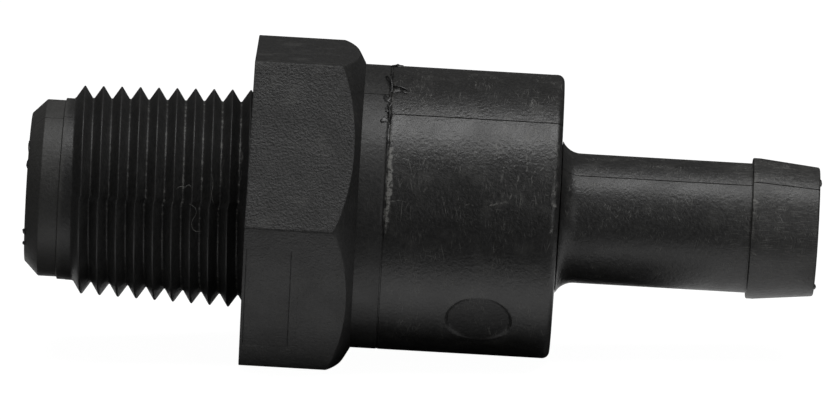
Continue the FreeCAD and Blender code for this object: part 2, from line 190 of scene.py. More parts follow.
# %% Thread sizes
PITCH = 1.814
THREAD_DEPTH = 1.27
CREST_AT_FACE = 10.79                # crest radius where the thread meets the hexagon
TAPER = 1 / 32                       # growth of the radius along the axis
THREAD_LEFT = -17.62
FIRST_CREST = -16.72                 # the first crest, at the top
CREST_ANGLE = 99.1                   # where round the axis that crest is measured
HALF_STEP = 0.14                     # the mould's lower half sits this much nearer the nose
HALF_LINE = 5.0                      # and the halves meet at this angle, and opposite it
CREST_HALF, ROOT_HALF = 0.03, 0.045  # half widths of the flat on a crest and in a root
# Places across one turn, as shares of the pitch from one root to the next
TURN_SHARES = [
    0.0, 0.025, 0.052, 0.2, 0.35, 0.45, 0.468, 0.484,
    0.516, 0.532, 0.55, 0.65, 0.8, 0.948, 0.975,
]


def half_shift(angles):
    """How far the thread is shifted by the step between the two halves of the mould."""
    lower = ((angles - HALF_LINE) % 360.0) / 180.0 - 1.0
    return -HALF_STEP * np.clip(np.minimum(lower, 1.0 - lower) * 60.0 + 0.5, 0.0, 1.0)


def thread_radius(along, angles):
    """Radius of the threaded stretch, any place along it and any angle round it."""
    turns = (along - half_shift(angles) - FIRST_CREST) / PITCH + (angles - CREST_ANGLE) / 360.0
    across = np.abs(turns - np.round(turns)) * PITCH
    half = PITCH / 2
    share = np.clip((half - ROOT_HALF - across) / (half - ROOT_HALF - CREST_HALF), 0.0, 1.0)
    # Roots and crests are a little rounded
    share = np.where(share < 0.06, share * share / 0.12 + 0.03, share)
    share = np.where(share > 0.94, 0.94 + (share - 0.94) * 0.5, share)
    fade = np.clip((252.0 - angles) / 45.0, 0.0, 1.0)
    grown = np.where(turns < -0.5, 0.0, np.where(turns < 0.5, fade * fade * (3 - 2 * fade), 1.0))
    return CREST_AT_FACE + along * TAPER - THREAD_DEPTH * (1.0 - share * grown)


def thread_rows(angles):
    rows = []
    turns = int(-THREAD_LEFT / PITCH) + 3
    for turn in range(-1, turns):
        for share in TURN_SHARES:
            middle = FIRST_CREST + PITCH * (turn - 0.5 + share)
            along = middle - PITCH * (angles - CREST_ANGLE) / 360.0 + half_shift(angles)
            along = np.clip(along, THREAD_LEFT, 0.0)
            rows.append((along, thread_radius(along, angles)))
    return rows


# %% [markdown]
# The hexagon's weld side is turned to a cone, so each flat ends in a curve. The rows there follow that curve,
# which keeps the edge crisp all round. One flat has a shallow plain panel.

# %% Hexagon
CONE_START = 8.5
CONE_BULGE = 1.25                    # 1 would be a straight cone
CORNER_SHARPNESS = 320
PANEL_FROM, PANEL_TO = 0.3, 4.7
PANEL_LOW, PANEL_HIGH = -52.2, -7.8
PANEL_DEPTH = 0.13
EDGE = 0.09


def hexagon_radius(angles):
    """Distance to the hexagon's flats, with its six corners just rounded."""
    total = np.zeros(len(angles))
    for flat in range(-30, 330, 60):
        lean = np.cos(np.radians(angles - flat))
        total += np.where(lean > 0.2, lean, 0.0) ** CORNER_SHARPNESS
    return HEX_APOTHEM * total ** (-1.0 / CORNER_SHARPNESS)


def shoulder_radius(along):
    """Radius of the turned shoulder, which bulges a little."""
    share = np.clip((along - CONE_START) / (HEX_BACK - CONE_START), 0.0, 1.0)
    return HEX_CORNER - (HEX_CORNER - BARREL_RADIUS) * share ** CONE_BULGE


def hexagon_rows(angles):
    level = np.zeros(len(angles))
    flat = hexagon_radius(angles)
    lean = np.cos(np.radians(angles + 30.0))
    inside = (angles > PANEL_LOW) & (angles < PANEL_HIGH)
    panel = np.where(inside, flat - PANEL_DEPTH / np.maximum(lean, 0.2), flat)
    rows = [(level, thread_radius(level, angles)), (level, level + 12.2)]
    rows += [(level, flat - 0.9), (level, flat - EDGE)]
    rows += [(level + EDGE * 0.3, flat - EDGE * 0.3), (level + EDGE, flat)]
    rows += [(level + PANEL_FROM - 0.03, flat), (level + PANEL_FROM + 0.05, panel)]
    rows += [(level + PANEL_TO - 0.05, panel), (level + PANEL_TO + 0.03, flat)]
    faint = np.where(inside, 0.03, 0.0)
    rows += [(level + 5.42, flat), (level + 5.48, flat - faint), (level + 5.54, flat)]
    drop = np.clip((HEX_CORNER - flat) / (HEX_CORNER - BARREL_RADIUS), 0.0, 1.0)
    end = CONE_START + (HEX_BACK - CONE_START) * drop ** (1 / CONE_BULGE)
    rows += [(end - 1.4, flat), (end - EDGE, flat), (end, flat - EDGE * 0.3)]
    for share in np.linspace(0.0, 0.92, 7):
        along = end + EDGE + (HEX_BACK - end - EDGE) * share
        rows.append((along, shoulder_radius(along)))
    return rows


# %% Whole inlet base
LINE_WIDTHS = (-0.6, -0.32, -0.12, 0.12, 0.32, 0.6)   # columns beside a parting line, in degrees
CORNER_WIDTHS = (-0.7, -0.35, -0.15, 0.15, 0.35, 0.7)
RIB_COUNT = 6
RIB_HALF_ANGLE = 5.05
RIB_TIP_RADIUS, CHAMBER_RADIUS, SPIGOT_RADIUS = 7.95, 9.6, 11.35
CHAMBER_FLOOR, SEAT_FACE, WEB_FRONT = 5.5, 6.0, 3.0
SEAT_RADIUS, SEAT_HOLE_RADIUS, INLET_RADIUS = 5.2, 4.2, 6.0


def seam_edge(angles):
    """How far each moulding's edge is broken back at the weld. It is widest on the upper front."""
    return 0.09 + 0.07 * np.clip((55.0 - near(angles, 48.0)) / 12.0, 0.0, 1.0)


def inlet_base_skin():
    fine = [line + w for line in (BASE_LINE, BASE_LINE + 180) for w in LINE_WIDTHS]
    fine += [corner + w for corner in range(0, 360, 60) for w in CORNER_WIDTHS]
    fine += [edge + w for edge in (PANEL_LOW, PANEL_HIGH) for w in (-0.18, 0.18)]
    angles = columns(1.5, fine)
    level = np.zeros(len(angles))
    mismatch = parting(angles, BASE_LINE)
    nose = outline([
        (NOSE_TIP, 6.4, 0), (NOSE_TIP, 7.32, 0.1), (NOSE_TIP + 1.4, 8.725, 0.2), (-18.5, 8.725, 0.04),
        (-18.44, 8.95, 0.05), (THREAD_LEFT, 8.95, 0),
    ])
    edge = seam_edge(angles)
    collar = [(level + place, BARREL_RADIUS) for place in (HEX_BACK, HEX_BACK + 0.1, SEAM - 0.4)]
    collar += [(SEAM - edge * 1.15, BARREL_RADIUS - edge * 0.05), (SEAM - edge * 0.85, BARREL_RADIUS - edge * 0.3)]
    collar += [(level + SEAM - 0.02, BARREL_RADIUS - edge * 1.1)]
    rows = turned_rows(nose, angles, mismatch)
    rows += thread_rows(angles)
    rows += hexagon_rows(angles)
    rows += [(along, level + radius + mismatch) for along, radius in collar]
    rows += turned_rows([(SEAM, SPIGOT_RADIUS), (SPIGOT_END, SPIGOT_RADIUS)], angles)
    beside_rib = np.minimum.reduce([near(angles, 30 + 60 * k) for k in range(RIB_COUNT)])
    ribbed = np.where(beside_rib < RIB_HALF_ANGLE, RIB_TIP_RADIUS, CHAMBER_RADIUS)
    rows += [(level + SPIGOT_END, ribbed), (level + CHAMBER_FLOOR, ribbed)]
    rows += turned_rows([
        (CHAMBER_FLOOR, SEAT_RADIUS), (SEAT_FACE, SEAT_RADIUS), (SEAT_FACE, SEAT_HOLE_RADIUS),
        (WEB_FRONT, SEAT_HOLE_RADIUS), (WEB_FRONT, INLET_RADIUS), (NOSE_TIP + 0.4, INLET_RADIUS),
    ], angles)
    return skin("inlet_base_moulding", rows, angles)


inlet_base = inlet_base_skin()
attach(inlet_base, "valve_body")
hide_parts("inlet_base")

# %% [markdown]
# ## The outlet housing: barrel, nozzle and barb
# The barrel's end is lightly rounded. The nozzle leaves it in a flare that stands a hair proud of the end
# face, with a fine slot between them. Low on the barrel's front is a round flat left by the mould.

# %% Outlet housing
NECK_RADIUS = 6.4
FLARE = 2.0
BARB_START = 49.35
BARB_RADIUS = 6.95
OUTLET_RADIUS = 4.3
SPOT_PLACE, SPOT_ANGLE, SPOT_RADIUS = 23.2, -40.0, 3.15
SPOT_LEVEL = 13.66


def barrel_rows(angles, mismatch):
    """The barrel, with rows set close together across the round spot."""
    places = np.concatenate([
        np.arange(SEAM + 0.5, SPOT_PLACE - SPOT_RADIUS - 0.3, 0.8),
        np.arange(SPOT_PLACE - SPOT_RADIUS - 0.2, SPOT_PLACE + SPOT_RADIUS + 0.2, 0.13),
        np.arange(SPOT_PLACE + SPOT_RADIUS + 0.5, BARREL_END - 0.8, 0.8),
    ])
    turn = np.radians(angles - SPOT_ANGLE)
    ahead = np.cos(turn) > 0.5
    side = np.where(ahead, BARREL_RADIUS * np.sin(turn), 99.0)
    level = SPOT_LEVEL / np.where(ahead, np.cos(turn), 1.0)
    rows = []
    for place in places:
        out = np.hypot(place - SPOT_PLACE, side) - SPOT_RADIUS
        inside = np.clip(0.5 - out / 0.3, 0.0, 1.0)
        rim = 0.02 * np.exp(-((out - 0.1) / 0.09) ** 2)
        radius = BARREL_RADIUS + mismatch
        rows.append((angles * 0 + place, radius + (np.minimum(level, radius) - 0.02 - radius) * inside + rim))
    return rows


def outlet_housing_skin():
    fine = [line + w for line in (HOUSING_LINE, HOUSING_LINE + 180) for w in LINE_WIDTHS]
    fine += list(np.arange(SPOT_ANGLE - 14.5, SPOT_ANGLE + 14.6, 0.55))
    angles = columns(2.0, fine)
    mismatch = parting(angles, HOUSING_LINE)
    level, edge = np.zeros(len(angles)), seam_edge(angles)
    start = [(level + SEAM + 0.02, BARREL_RADIUS - edge * 1.1), (SEAM + edge * 0.85, BARREL_RADIUS - edge * 0.3)]
    start += [(SEAM + edge * 1.15, BARREL_RADIUS - edge * 0.05), (level + SEAM + 0.4, BARREL_RADIUS)]
    slot_floor = NECK_RADIUS + 0.25
    flare_tip = NECK_RADIUS + FLARE - math.sqrt(FLARE ** 2 - (FLARE - 0.22) ** 2)
    flare = []
    for n in range(13):
        lean = math.acos((NECK_RADIUS + FLARE - flare_tip) / FLARE) * (1 - n / 12)
        flare.append((BARREL_END + FLARE - FLARE * math.sin(lean), NECK_RADIUS + FLARE - FLARE * math.cos(lean)))
    end = outline([
        (BARREL_END - 1.0, BARREL_RADIUS, 0), (BARREL_END, BARREL_RADIUS, 0.7), (BARREL_END, 11.0, 0),
    ], 7)
    end += [(BARREL_END, 8.2), (BARREL_END, slot_floor + 0.08)]
    end += [(BARREL_END + 0.02, slot_floor), (BARREL_END + 0.11, slot_floor)]
    end += [(BARREL_END + 0.19, flare_tip - 0.04)] + flare
    neck = [(x, NECK_RADIUS) for x in np.linspace(BARREL_END + FLARE + 1.5, BARB_START - 0.5, 10)]
    barb = outline([
        (BARB_START - 0.2, NECK_RADIUS, 0), (BARB_START, NECK_RADIUS, 0.06), (BARB_START + 0.04, BARB_RADIUS, 0.12),
        (BARB_START + 0.75, BARB_RADIUS, 0.6), (BARB_TIP, 6.36, 0.22), (BARB_TIP, 4.7, 0.1),
        (BARB_TIP - 0.4, OUTLET_RADIUS, 0),
    ])
    rows = [(along, level + radius + mismatch) for along, radius in start]
    rows += barrel_rows(angles, mismatch)
    rows += turned_rows(end, angles, mismatch * 0.7)
    rows += turned_rows(neck + barb, angles, parting(angles, HOUSING_LINE, reach=0.45))
    rows += turned_rows([
        (40.0, OUTLET_RADIUS), (WASHER_BACK, OUTLET_RADIUS), (WASHER_BACK, BARREL_BORE), (SEAM, BARREL_BORE),
    ], angles)
    return skin("outlet_housing_moulding", rows, angles)


outlet_housing = outlet_housing_skin()
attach(outlet_housing, "valve_body")
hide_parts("outlet_housing")

# %% [markdown]
# ## The pieces inside
# They only show through the bores, but they are what makes the valve work. The washer and the pintle are
# plain turned skins. The spring is a curve with a round section, which gives smooth wire in a few lines.

# %% Washer and pintle
FLANGE_BACK = 7.6


def metering_washer_skin():
    angles = columns(3.0, [])
    rim = outline([
        (WASHER_FRONT + 0.5, 3.7, 0), (WASHER_FRONT, 3.95, 0.15), (WASHER_FRONT, 11.3, 0.15),
        (WASHER_BACK, 11.3, 0.1), (WASHER_BACK, 3.7, 0.05), (WASHER_FRONT + 0.6, 3.7, 0),
    ])
    return skin("metering_washer_stamping", turned_rows(rim, angles), angles)


def pintle_skin():
    angles = columns(4.0, [])
    shape = outline([
        (3.6, 2.0, 0), (3.6, 3.4, 0.3), (6.0, 3.4, 0.05), (6.0, 7.75, 0.1), (FLANGE_BACK, 7.75, 0.25),
        (FLANGE_BACK, 4.4, 0.1), (19.6, 4.4, 0.25), (19.6, 3.3, 0.05), (28.5, 2.1, 0.9), (28.5, 0.02, 0),
    ])
    core = [(16.6, 0.02), (16.6, 2.0)]
    return skin("pintle_moulding", turned_rows(shape + core, angles), angles)


metering_washer = metering_washer_skin()
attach(metering_washer, "valve_body")
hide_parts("metering_washer")

pintle = pintle_skin()
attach(pintle, "pintle")
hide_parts("pintle")

# %% Return spring
WIRE = 0.7
COIL_RADIUS = 5.3
CLOSED_PITCH = 0.74
ACTIVE_TURNS = 7


def return_spring_coil():
    start = FLANGE_BACK + 0.02 + WIRE / 2
    stop = WASHER_FRONT - 0.02 - WIRE / 2
    active = stop - start - 2 * CLOSED_PITCH
    curve = bpy.data.curves.new("return_spring_path", "CURVE")
    curve.dimensions = "3D"
    curve.bevel_depth = WIRE / 2 * MM
    curve.bevel_resolution = 3
    curve.use_fill_caps = True
    per_turn = 28
    total = (ACTIVE_TURNS + 2) * per_turn
    spline = curve.splines.new("POLY")
    spline.points.add(total)
    for n in range(total + 1):
        turn = n / per_turn
        climb = min(turn, 1.0) * CLOSED_PITCH
        climb += min(max(turn - 1.0, 0.0), ACTIVE_TURNS) / ACTIVE_TURNS * active
        climb += max(turn - 1.0 - ACTIVE_TURNS, 0.0) * CLOSED_PITCH
        lean = 2 * math.pi * turn
        place = Vector((start + climb, COIL_RADIUS * math.sin(lean), COIL_RADIUS * math.cos(lean))) * MM
        spline.points[n].co = (*place, 1.0)
    helper = bpy.data.objects.new("return_spring_path", curve)
    scene.collection.objects.link(helper)
    bpy.context.view_layer.update()
    mesh = bpy.data.meshes.new_from_object(helper)
    bpy.data.objects.remove(helper)
    return finish_mesh("return_spring_wire", mesh)


return_spring = return_spring_coil()
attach(return_spring, "valve_body")
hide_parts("return_spring")
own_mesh(return_spring)

# %% [markdown]
# ## Weld flash and torn edges
# Spinning the two mouldings together squeezed a little nylon out at the seam. It shows as a thin ragged
# thread, thicker in a few places. The nose and the barb also keep shreds of flash. Each is a small closed
# mesh that sits half inside the moulding.

# %% Flash
random = np.random.default_rng(7)


def smooth_noise(count, size):
    """A closed ring of random heights from 0 to 1, with bumps that are size samples wide."""
    raw = random.random(count)
    kernel = np.hanning(size + 2)[1:-1]
    spread = np.convolve(np.concatenate([raw, raw, raw]), kernel / kernel.sum(), "same")[count:2 * count]
    return (spread - spread.min()) / (spread.max() - spread.min())


def weld_bead():
    """The nylon squeezed out of the seam, proud and ragged on the upper front and sunken elsewhere."""
    angles = columns(0.6, [])
    count = len(angles) - 1
    raised = np.clip((22.0 - near(angles[:-1], 66.0)) / 9.0, 0.0, 1.0)
    ragged = smooth_noise(count, 5) * smooth_noise(count, 16)
    height = -0.07 + 0.06 * ragged + raised * (0.04 + 0.26 * ragged)
    for place, width, extra in ((71.0, 4.0, 0.2), (58.0, 3.0, 0.12), (48.0, 2.5, 0.16), (37.0, 1.5, 0.08)):
        height = height + extra * np.exp(-(near(angles[:-1], place) / width) ** 2)
    drift = 0.10 * (smooth_noise(count, 9) - 0.5) + raised * 0.4 * (smooth_noise(count, 5) - 0.5)
    height, drift = np.append(height, height[0]), np.append(drift, drift[0])
    deep = height * 0 + BARREL_RADIUS - 0.3
    rows = [
        (SEAM - 0.13 + drift * 0.2, deep), (SEAM - 0.10 + drift * 0.6, BARREL_RADIUS - 0.08 + height * 0.5),
        (SEAM - 0.03 + drift, BARREL_RADIUS + height), (SEAM + 0.05 + drift, BARREL_RADIUS + height * 0.9),
        (SEAM + 0.11 + drift * 0.6, BARREL_RADIUS - 0.08 + height * 0.4), (SEAM + 0.14 + drift * 0.2, deep),
    ]
    return skin("weld_bead", rows, angles)


def shred(name, place, angle, radius, size, lean=0.0):
    """A torn sliver of flash: a lump with uneven points, set at a place along the axis and round it."""
    lump = bmesh.new()
    bmesh.ops.create_icosphere(lump, subdivisions=2, radius=1.0)
    for vert in lump.verts:
        vert.co *= 0.7 + 0.6 * random.random()
        vert.co.x *= size[0] * MM
        vert.co.y *= size[1] * MM
        vert.co.z *= size[2] * MM
    turned = math.radians(angle)
    out = Vector((0.0, -math.cos(turned), math.sin(turned)))
    round_axis = Vector((0.0, math.sin(turned), math.cos(turned)))
    forward = Vector((1.0, 0.0, 0.0)) * math.cos(lean) + round_axis * math.sin(lean)
    across = out.cross(forward)
    basis = Matrix((forward, across, out)).transposed().to_4x4()
    basis.translation = Vector((place * MM, 0.0, 0.0)) + out * (radius * MM)
    lump.transform(basis)
    mesh = bpy.data.meshes.new(name)
    lump.to_mesh(mesh)
    lump.free()
    return finish_mesh(name, mesh, sharp=60.0)


def curl(name, points, thickness, base=BARREL_RADIUS):
    """A curled thread of nylon. Each point is (along the axis, angle round it, lift off the surface)."""
    curve = bpy.data.curves.new(name + "_path", "CURVE")
    curve.dimensions = "3D"
    curve.bevel_depth = thickness / 2 * MM
    curve.bevel_resolution = 1
    curve.resolution_u = 6
    curve.use_fill_caps = True
    spline = curve.splines.new("NURBS")
    spline.points.add(len(points) - 1)
    for n, (along, angle, lift) in enumerate(points):
        turned, radius = math.radians(angle), base + lift
        place = Vector((along, -radius * math.cos(turned), radius * math.sin(turned))) * MM
        spline.points[n].co = (*place, 1.0)
        spline.points[n].radius = 0.35 if n in (0, len(points) - 1) else 0.7 + 0.6 * random.random()
    spline.order_u = 3
    spline.use_endpoint_u = True
    helper = bpy.data.objects.new(name + "_path", curve)
    scene.collection.objects.link(helper)
    bpy.context.view_layer.update()
    mesh = bpy.data.meshes.new_from_object(helper)
    bpy.data.objects.remove(helper)
    return finish_mesh(name, mesh, sharp=60.0)


flash_pieces = [weld_bead()]
SHREDS = [
    ("nose_flash_top", -21.66, 40.0, 7.35, (0.10, 0.75, 0.16), 0.1),
    ("nose_flash_upper", -21.7, 27.0, 7.3, (0.12, 0.45, 0.12), 0.0),
    ("nose_flash_low", -21.68, -28.0, 7.35, (0.16, 0.35, 0.14), 0.3),
    ("nose_flash_lower", -21.7, -40.0, 7.35, (0.13, 0.25, 0.12), 0.0),
    ("barb_flash_top", 56.0, 60.0, 6.2, (0.16, 0.5, 0.12), 0.0),
    ("barb_flash_low", 56.0, -52.0, 6.15, (0.18, 0.5, 0.14), 0.2),
    ("seam_shred_crown", 13.9, 93.0, 13.98, (0.62, 0.35, 0.2), 0.1),
    ("seam_shred_upper", 13.05, 58.0, 13.92, (0.34, 0.7, 0.2), 0.3),
    ("seam_shred_middle", 13.2, 51.5, 13.92, (0.3, 0.45, 0.17), 0.7),
    ("seam_shred_low", 12.9, 46.5, 13.9, (0.58, 0.4, 0.21), 0.5),
    ("seam_flap", 14.05, 64.0, 13.97, (0.55, 0.36, 0.2), 0.15),
    ("seam_flap_tip", 14.9, 63.2, 13.95, (0.55, 0.17, 0.12), -0.1),
]
CURLS = [
    ("seam_curl", [
        (12.8, 75.0, 0.0), (13.0, 73.0, 0.3), (13.3, 70.0, 0.42), (13.5, 66.0, 0.25), (13.5, 63.0, 0.0),
    ], 0.26),
    ("seam_flap_edge", [(13.4, 67.0, 0.0), (14.0, 66.0, 0.2), (14.6, 65.5, 0.12), (15.2, 64.5, -0.03)], 0.2),
    ("seam_curl_low", [(13.1, 55.0, 0.0), (13.35, 52.0, 0.35), (13.5, 48.0, 0.3), (13.3, 45.0, 0.0)], 0.2),
]
FIBRE_THICKNESS, FIBRE_DEPTH = 0.055, 0.16   # the depth is below the crest at the hexagon
FIBRES = [
    ("thread_fibre_upper", [
        (-7.0, 12, 0.0), (-6.6, 14.5, 0.1), (-6.1, 13, 0.15), (-5.7, 16, 0.1), (-5.3, 12, 0.0),
    ]),
    ("thread_fibre_long", [
        (-5.6, 5, 0.0), (-5.0, 4, 0.1), (-4.8, 0, 0.15), (-5.3, -4, 0.1), (-5.2, -8, 0.1), (-4.7, -10, 0.1),
        (-4.2, -9, 0.0),
    ]),
    ("thread_fibre_right", [(-3.6, 22, 0.0), (-3.3, 16, 0.12), (-3.6, 10, 0.12), (-3.2, 6, 0.0)]),
]
for name, place, angle, radius, size, lean in SHREDS:
    flash_pieces.append(shred(name, place, angle, radius, size, lean))
for name, points, thickness in CURLS:
    flash_pieces.append(curl(name, points, thickness))
fibres = [curl(name, points, FIBRE_THICKNESS, CREST_AT_FACE - FIBRE_DEPTH) for name, points in FIBRES]
for piece in flash_pieces + fibres:
    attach(piece, "valve_body")
print(len(flash_pieces), "pieces of flash and", len(fibres), "frayed fibres")

# %% [markdown]
# ## Finishes
# Glass-filled nylon is nearly black, with a fine speckle where fibres reach the surface, and it marks light
# grey wherever it is rubbed. The marks run round the barrel, so they are laid out on the unrolled surface:
# distance along the axis against distance round it. Noise that is stretched there gives the many hairlines,
# and a few single strokes are drawn between two points.

# %% Node helpers
class Nodes:
    """Adds nodes to a material and wires them in one line."""

    def __init__(self, tree):
        self.tree = tree

    def add(self, kind, inputs=(), output=0, **settings):
        node = self.tree.nodes.new(kind)
        for key, value in settings.items():
            setattr(node, key, value)
        for key, value in dict(inputs).items():
            if isinstance(value, bpy.types.NodeSocket):
                self.tree.links.new(value, node.inputs[key])
            else:
                node.inputs[key].default_value = value
        return node.outputs[output]

    def sum(self, a, b, operation="ADD", clamp=False):
        return self.add("ShaderNodeMath", {0: a, 1: b}, operation=operation, use_clamp=clamp)

    def times(self, *values):
        total = values[0]
        for value in values[1:]:
            total = self.sum(total, value, "MULTIPLY")
        return total

    def range(self, value, low, high, to_low=0.0, to_high=1.0):
        inputs = {0: value, 1: low, 2: high, 3: to_low, 4: to_high}
        return self.add("ShaderNodeMapRange", inputs, interpolation_type="SMOOTHSTEP")

    def noise(self, place, scale, detail=2.0, rough=0.6, output=0):
        inputs = {"Vector": place, "Scale": scale, "Detail": detail, "Roughness": rough}
        return self.add("ShaderNodeTexNoise", inputs, output)

    def mix(self, factor, a, b):
        return self.add("ShaderNodeMix", {"Factor": factor, 6: a, 7: b}, output=2, data_type="RGBA")

    def axes(self, where):
        split = self.tree.nodes.new("ShaderNodeSeparateXYZ")
        self.tree.links.new(where, split.inputs[0])
        return split.outputs

    def unrolled(self):
        """Place along the axis, distance from it, and the unrolled surface, all in millimetres."""
        where = self.add("ShaderNodeTexCoord", output=3)
        x, y, z = self.axes(where)
        angle = self.sum(z, self.sum(y, -1.0, "MULTIPLY"), "ARCTAN2")
        along = self.sum(x, 1 / MM, "MULTIPLY")
        round_it = self.sum(angle, BARREL_RADIUS, "MULTIPLY")
        radius = self.times(self.sum(self.sum(self.times(y, y), self.times(z, z)), 0.5, "POWER"), 1 / MM)
        return where, along, radius, self.add("ShaderNodeCombineXYZ", {0: along, 1: round_it})

    def hairlines(self, place, lean, scale, low, high):
        """Hairline scratches: noise stretched along one direction of the unrolled surface."""
        rotation = {"Vector": place, "Angle": math.radians(lean)}
        turned = self.add("ShaderNodeVectorRotate", rotation, rotation_type="Z_AXIS")
        stretched = self.add("ShaderNodeVectorMath", {0: turned, 1: (*scale, 1.0)}, operation="MULTIPLY")
        return self.range(self.noise(stretched, 1.0, 2.0, 0.5), low, high)

    def stroke(self, place, start, end, width):
        """1 on the line between two points of the unrolled surface, fading to 0 at that distance from it."""
        start, end = Vector((*start, 0.0)), Vector((*end, 0.0))
        run = end - start
        offset = self.add("ShaderNodeVectorMath", {0: place, 1: start}, operation="SUBTRACT")
        dot = {0: offset, 1: run / run.length_squared}
        share = self.sum(self.add("ShaderNodeVectorMath", dot, output=1, operation="DOT_PRODUCT"), 0.0, clamp=True)
        nearest = self.add("ShaderNodeVectorMath", {0: run, "Scale": share}, operation="SCALE")
        gap = self.add("ShaderNodeVectorMath", {0: offset, 1: nearest}, output=1, operation="DISTANCE")
        return self.range(gap, width, width * 0.2)


def new_material(name):
    material = bpy.data.materials.new(name)
    material.use_nodes = True
    shader = material.node_tree.nodes["Principled BSDF"]
    return material, Nodes(material.node_tree), shader


def unrolled_point(along, angle):
    """A place on the unrolled surface, from its place along the axis and its angle from the front."""
    return along, math.radians(angle) * BARREL_RADIUS


# %% Moulded nylon
NYLON = (0.024, 0.0238, 0.0233, 1.0)
RUBBED = (0.20, 0.198, 0.188, 1.0)
GRAIN_HEIGHT = 0.11 * MM
# Noise scales, per metre: grain, the lumps under it, and slow changes of gloss and of rubbing
FINE_GRAIN, COARSE_GRAIN = 9500.0, 3400.0
ROUGH_MOTTLE, SMOOTH_MOTTLE = 4300.0, 2800.0
CLOUDS, RUB_PATCHES = 330.0, 450.0
# Hairlines: lean from round the barrel in degrees, scale along and round, and where the noise starts to show
BARREL_HAIRLINES = [(-14, (8.0, 0.55), 0.60, 0.72), (4, (9.0, 0.45), 0.60, 0.72), (19, (8.0, 0.7), 0.62, 0.74),
                    (88, (7.0, 0.8), 0.66, 0.76)]
HOSE_HAIRLINES = [(86, (7.0, 0.6), 0.58, 0.70), (93, (9.0, 0.8), 0.60, 0.72)]


def moulded_nylon(name, roughness, specks, relief, hairlines=(), strokes=(), amount=0.55,
                  hose=False, thread=False):
    """Black nylon: a fine grain with pale fibre ends, hairline scratches in patches, and the strokes given.

    With hose, the barb is rubbed and the moulding spot is painted darker, as shade. With thread, the roots have
    pale flecks, stronger towards the hexagon.
    """
    material, n, shader = new_material(name)
    where, along, radius, place = n.unrolled()
    fine = n.noise(where, FINE_GRAIN, 2.0, 0.7)
    coarse = n.noise(where, COARSE_GRAIN, 2.0, 0.6)
    mottle = n.noise(where, ROUGH_MOTTLE if relief > 0.5 else SMOOTH_MOTTLE, 2.0, 0.6)
    cloud = n.noise(where, CLOUDS, 3.0)
    wear = n.times(n.range(fine, 0.62, 0.74), 0.06 + specks * 0.26)
    wear = n.sum(wear, n.times(n.range(n.noise(where, RUB_PATCHES, 3.0), 0.5, 0.72), specks * 0.12))
    # No hairlines on the end faces, where the unrolled surface has no width
    end_face = n.sum(n.axes(n.add("ShaderNodeTexCoord", output=1))[0], 0.0, "ABSOLUTE")
    patches = n.times(n.range(n.noise(place, 0.34, 2.0), 0.42, 0.64), n.range(end_face, 0.8, 0.5))
    for lean, scale, low, high in hairlines:
        wear = n.sum(wear, n.times(n.hairlines(place, lean, scale, low, high), patches, amount))
    if hose:
        pushed = n.times(n.range(along, 44.0, 50.0), n.range(end_face, 0.8, 0.5))
        for lean, scale, low, high in HOSE_HAIRLINES:
            wear = n.sum(wear, n.times(n.hairlines(place, lean, scale, low, high), pushed, 0.55))
        wear = n.sum(wear, n.times(pushed, 0.05))
    if thread:
        # Pale flecks along the roots of the thread, stronger towards the hexagon
        root = n.sum(CREST_AT_FACE - THREAD_DEPTH, n.times(along, TAPER))
        above_root = n.sum(radius, root, "SUBTRACT")
        pale_root_flecks = n.times(n.range(above_root, 0.16, 0.02), n.range(above_root, -0.4, -0.2))
        pale_root_flecks = n.times(pale_root_flecks, n.range(along, -17.4, -16.8))
        pale_root_flecks = n.times(pale_root_flecks, n.range(along, 0.0, -0.3), n.range(n.noise(place, 1.3, 3.0), 0.5, 0.66))
        wear = n.sum(wear, n.times(pale_root_flecks, n.range(along, -18.0, 0.0, 0.1, 0.75)))
        wear = n.sum(wear, n.range(along, -17.8, -18.4, 0.0, 0.14))
    waver = n.noise(where, 900.0, 2.0, output=1)
    wander = n.add("ShaderNodeVectorMath", {0: waver, 1: (0.5, 0.5, 0.5)}, operation="SUBTRACT")
    wander = n.add("ShaderNodeVectorMath", {0: wander, "Scale": 0.7}, operation="SCALE")
    drawn = n.add("ShaderNodeVectorMath", {0: place, 1: wander})
    broken = n.range(n.noise(where, 3000.0, 3.0, 0.7), 0.36, 0.60)
    for start, end, width, strength in strokes:
        mark = n.stroke(drawn, unrolled_point(*start), unrolled_point(*end), width)
        wear = n.sum(wear, n.times(mark, broken, strength))
    wear = n.sum(wear, 0.0, clamp=True)
    tone = n.times(n.range(coarse, 0.3, 0.7, 0.3, 1.0), n.range(fine, 0.25, 0.5, 0.5, 1.0))
    if hose:
        # Inside the moulding spot the colour is halved and the specular lowered: painted shade
        spot = (*unrolled_point(SPOT_PLACE, SPOT_ANGLE), 0.0)
        offset = n.add("ShaderNodeVectorMath", {0: place, 1: spot}, output=1, operation="DISTANCE")
        outside = n.range(offset, SPOT_RADIUS - 0.15, SPOT_RADIUS)
        tone = n.times(tone, n.range(outside, 0.0, 1.0, 0.5, 1.0))
        n.tree.links.new(n.range(outside, 0.0, 1.0, 0.4, 0.5), shader.inputs["Specular IOR Level"])
    tone = n.mix(tone, (0.004, 0.004, 0.004, 1.0), NYLON)
    n.tree.links.new(n.mix(wear, tone, RUBBED), shader.inputs["Base Color"])
    gloss = n.sum(n.range(cloud, 0.3, 0.75, roughness - 0.04, roughness + 0.06), n.times(wear, 0.25))
    if hose:
        gloss = n.sum(gloss, n.range(along, 31.0, 33.0, 0.0, 0.05))
    n.tree.links.new(gloss, shader.inputs["Roughness"])
    height = n.sum(n.sum(n.times(fine, 0.2), n.times(coarse, 0.5)), n.times(mottle, 1.2))
    bump = n.add("ShaderNodeBump", {"Strength": relief, "Distance": GRAIN_HEIGHT, "Height": height})
    n.tree.links.new(bump, shader.inputs["Normal"])
    return material


